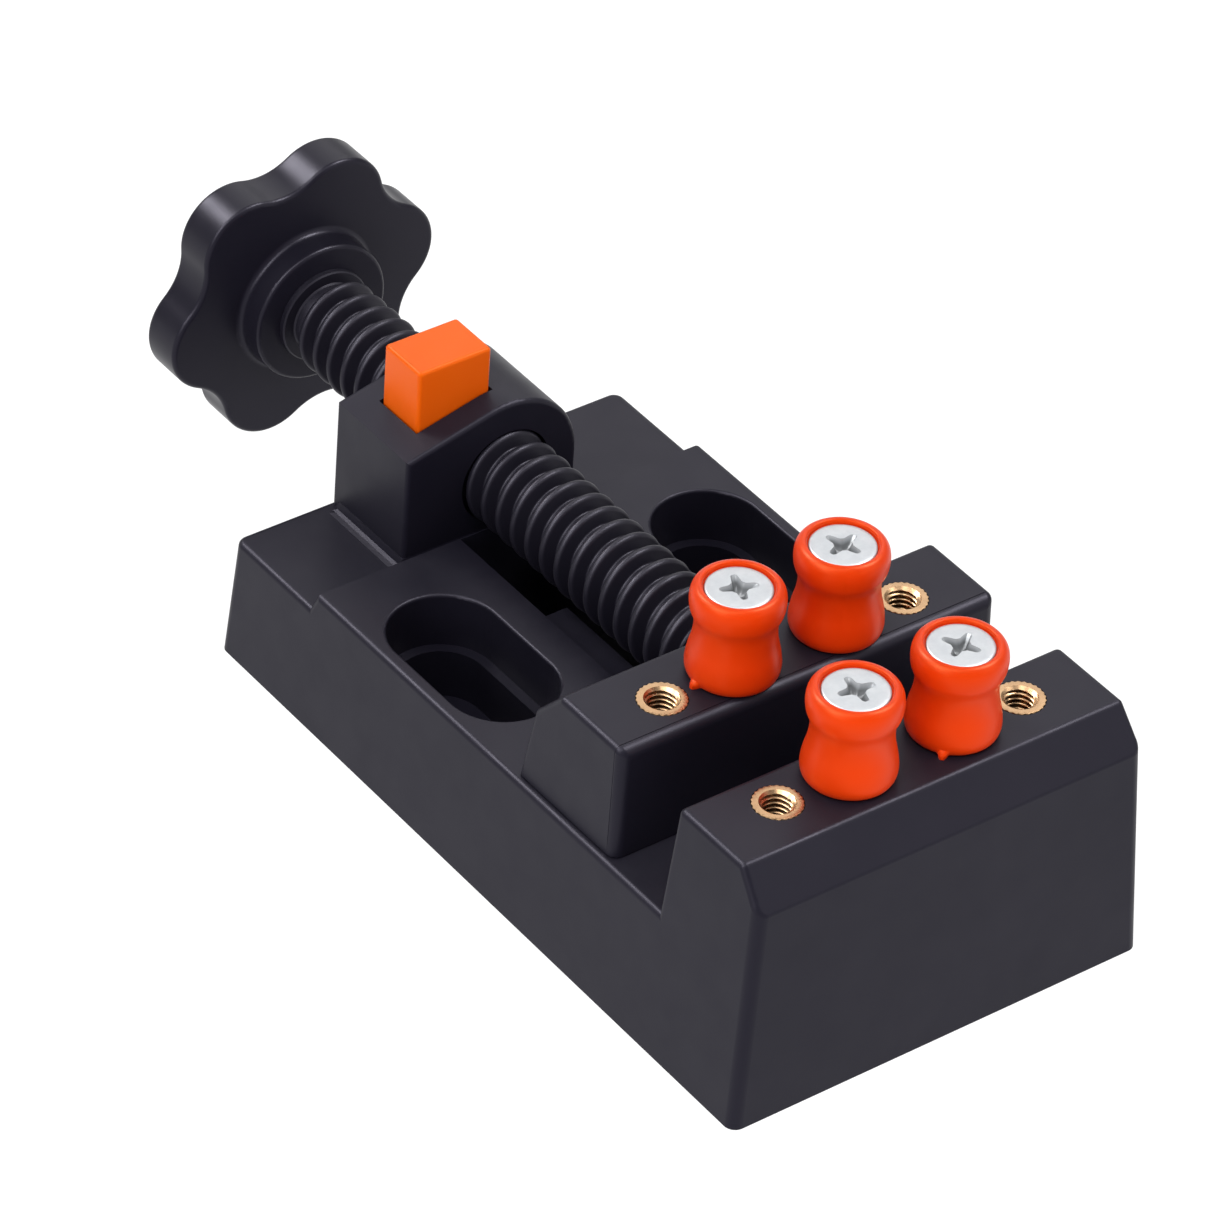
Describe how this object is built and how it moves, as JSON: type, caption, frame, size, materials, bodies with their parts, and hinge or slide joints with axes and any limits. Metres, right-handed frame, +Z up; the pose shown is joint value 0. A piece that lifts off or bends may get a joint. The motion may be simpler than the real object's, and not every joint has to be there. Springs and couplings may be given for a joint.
{
  "type": "watch movement holder",
  "caption": "Flat bench holder with a fixed jaw, a screw-driven sliding jaw, clamping pegs on both jaws, a lobed knob and a quick-release button on the screw housing.",
  "frame": {"origin": "centre of the base moulding's footprint, on the underside it stands on", "axes": "+Y along the screw from the fixed jaw towards the knob, +Z up, +X to the right seen from the fixed jaw's front, so the release button stands on the -X side"},
  "size_m": [0.06, 0.1376, 0.0472],
  "materials": {
    "black_plastic": "satin, finely textured moulding",
    "screw_plastic": "satin moulded thread",
    "orange_plastic": "semi-gloss moulding",
    "brass": "machined",
    "zinc_steel": "bright zinc plate",
    "spring_steel": "drawn wire and pressed sheet"
  },
  "bodies": {
    "base": {"base_body": "black_plastic", "fixed_jaw_insert_1": "brass", "fixed_jaw_insert_2": "brass", "fixed_jaw_insert_3": "brass", "fixed_jaw_insert_4": "brass", "fixed_jaw_peg_1": "orange_plastic", "fixed_jaw_peg_2": "orange_plastic", "fixed_jaw_peg_screw_1": "zinc_steel", "fixed_jaw_peg_screw_2": "zinc_steel", "release_spring": "spring_steel", "spring_cover": "black_plastic", "spring_cover_screws": "zinc_steel"},
    "jaw": {"moving_jaw": "black_plastic", "moving_jaw_insert_1": "brass", "moving_jaw_insert_2": "brass", "moving_jaw_insert_3": "brass", "moving_jaw_insert_4": "brass", "moving_jaw_peg_1": "orange_plastic", "moving_jaw_peg_2": "orange_plastic", "moving_jaw_peg_screw_1": "zinc_steel", "moving_jaw_peg_screw_2": "zinc_steel", "screw_retainer": "spring_steel"},
    "screw": {"lead_screw": "screw_plastic", "knob": "black_plastic", "knob_screw": "zinc_steel"},
    "release": {"release_button": "orange_plastic"}
  },
  "joints": [
    {"name": "jaw_slide", "type": "slide", "parent": "base", "child": "jaw", "axis": [0, 1, 0], "range_m": [-0.0097, 0.0405]},
    {"name": "screw_turn", "type": "hinge", "parent": "jaw", "child": "screw", "pos_m": [0, 0, 0.0248], "axis": [0, 1, 0], "range_deg": [-1164, 4860]},
    {"name": "release_press", "type": "slide", "parent": "base", "child": "release", "axis": [0, 0, -1], "range_m": [0, 0.003], "stiffness_N_per_m": 1650, "springref_m": -0.0015, "deforming": ["release_spring"]}
  ],
  "couplings": [
    {"joint": "screw_turn", "follows": "jaw_slide", "rad_per_m": 2094.4}
  ]
}
